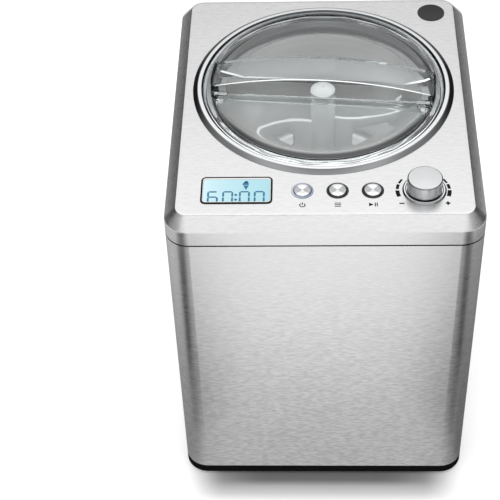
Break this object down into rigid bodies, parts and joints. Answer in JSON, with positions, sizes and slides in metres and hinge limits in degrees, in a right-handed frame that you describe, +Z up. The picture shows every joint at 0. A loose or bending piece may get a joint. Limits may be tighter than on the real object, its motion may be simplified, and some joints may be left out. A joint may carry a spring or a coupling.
{
  "type": "ice cream maker",
  "caption": "Upright compressor ice cream maker in brushed steel with a round clear lid, bridge handle, refill flap, lift-out bowl, geared paddle, display, push buttons and knob.",
  "frame": {"origin": "under the middle of the casing, on the plane of the feet", "axes": "+X to the right of someone facing the controls, +Y to the rear, +Z up"},
  "size_m": [0.255, 0.297, 0.3483],
  "materials": {
    "brushed_steel": "horizontal brushed stainless",
    "black_plastic": "fine matt",
    "chrome": "polished",
    "clear_plastic": "clear moulded",
    "white_plastic": "moulded",
    "aluminium": "satin",
    "copper": "drawn tube",
    "foam": "expanded foam",
    "rubber": "soft",
    "silicone": "translucent soft",
    "zinc_steel": "plated sheet",
    "bronze": "sintered",
    "gear_plastic": "moulded",
    "black_paint": "semi gloss",
    "motor_steel": "satin",
    "board": "laminate",
    "display": "lit panel",
    "satin_silver": "spun"
  },
  "bodies": {
    "casing": {"base_tray": "black_plastic", "rubber_feet": "rubber", "steel_wrap": "brushed_steel", "rear_panel": "zinc_steel", "power_inlet": "black_plastic", "top_cover": "brushed_steel", "top_frame": "black_plastic", "trim_ring": "chrome", "cooling_well": "aluminium", "evaporator_coil": "copper", "insulation": "foam", "idler_pin": "zinc_steel", "drive_motor": "motor_steel", "gearbox_housing": "black_plastic", "gearbox_cover": "zinc_steel", "shaft_bushes": "bronze", "shaft_seal": "silicone", "chassis": "zinc_steel", "compressor": "black_paint", "compressor_grommets": "rubber", "condenser": "aluminium", "discharge_pipe": "copper", "suction_pipe": "copper", "fan_shroud": "black_plastic", "fan_motor": "motor_steel", "control_board": "board", "display_bezel": "black_plastic", "display_panel": "display", "button_bezels": "chrome", "button_switches": "black_plastic", "encoder": "zinc_steel", "knob_flange": "chrome"},
    "bowl": {"bowl": "aluminium"},
    "lid": {"lid": "clear_plastic", "lid_seal": "silicone"},
    "flap": {"refill_flap": "clear_plastic", "flap_pins": "zinc_steel"},
    "paddle": {"paddle": "white_plastic"},
    "drive": {"drive_shaft": "zinc_steel", "output_gear": "gear_plastic"},
    "idler": {"idler_gear": "gear_plastic"},
    "rotor": {"motor_shaft": "zinc_steel", "motor_pinion": "bronze"},
    "fan": {"fan_wheel": "black_plastic"},
    "knob": {"knob": "satin_silver", "encoder_shaft": "zinc_steel"},
    "power_button": {"power_button": "satin_silver"},
    "menu_button": {"menu_button": "satin_silver"},
    "start_button": {"start_button": "satin_silver"}
  },
  "joints": [
    {"name": "bowl_lift", "type": "slide", "parent": "casing", "child": "bowl", "axis": [0, 0, 1], "range_m": [0, 0.14]},
    {"name": "lid_lift", "type": "slide", "parent": "bowl", "child": "lid", "axis": [0, 0, 1], "range_m": [0, 0.06]},
    {"name": "flap_hinge", "type": "hinge", "parent": "lid", "child": "flap", "pos_m": [-0.00157, -0.00153, 0.33053], "axis": [-0.9966, 0.0819, 0], "range_deg": [0, 90]},
    {"name": "drive_spin", "type": "hinge", "parent": "casing", "child": "drive", "pos_m": [0, 0.0176, 0.2063], "axis": [0, 0, 1], "continuous": true},
    {"name": "paddle_spin", "type": "hinge", "parent": "bowl", "child": "paddle", "pos_m": [0, 0.0176, 0.2063], "axis": [0, 0, 1], "continuous": true},
    {"name": "idler_spin", "type": "hinge", "parent": "casing", "child": "idler", "pos_m": [0.0564, 0.0176, 0.1363], "axis": [0, 0, 1], "continuous": true},
    {"name": "rotor_spin", "type": "hinge", "parent": "casing", "child": "rotor", "pos_m": [0.0564, -0.01255, 0.1363], "axis": [0, 0, 1], "continuous": true},
    {"name": "fan_spin", "type": "hinge", "parent": "casing", "child": "fan", "pos_m": [-0.014, 0.104, 0.056], "axis": [0, 1, 0], "continuous": true},
    {"name": "knob_turn", "type": "hinge", "parent": "casing", "child": "knob", "pos_m": [0.079, -0.1117, 0.3283], "axis": [0, 0, 1], "continuous": true},
    {"name": "power_button_press", "type": "slide", "parent": "casing", "child": "power_button", "axis": [0, 0, -1], "range_m": [0, 0.001], "stiffness_N_per_m": 500},
    {"name": "menu_button_press", "type": "slide", "parent": "casing", "child": "menu_button", "axis": [0, 0, -1], "range_m": [0, 0.001], "stiffness_N_per_m": 500},
    {"name": "start_button_press", "type": "slide", "parent": "casing", "child": "start_button", "axis": [0, 0, -1], "range_m": [0, 0.001], "stiffness_N_per_m": 500}
  ],
  "couplings": [
    {"joint": "paddle_spin", "follows": "drive_spin", "ratio": 1},
    {"joint": "idler_spin", "follows": "drive_spin", "ratio": -4},
    {"joint": "rotor_spin", "follows": "drive_spin", "ratio": 16}
  ]
}
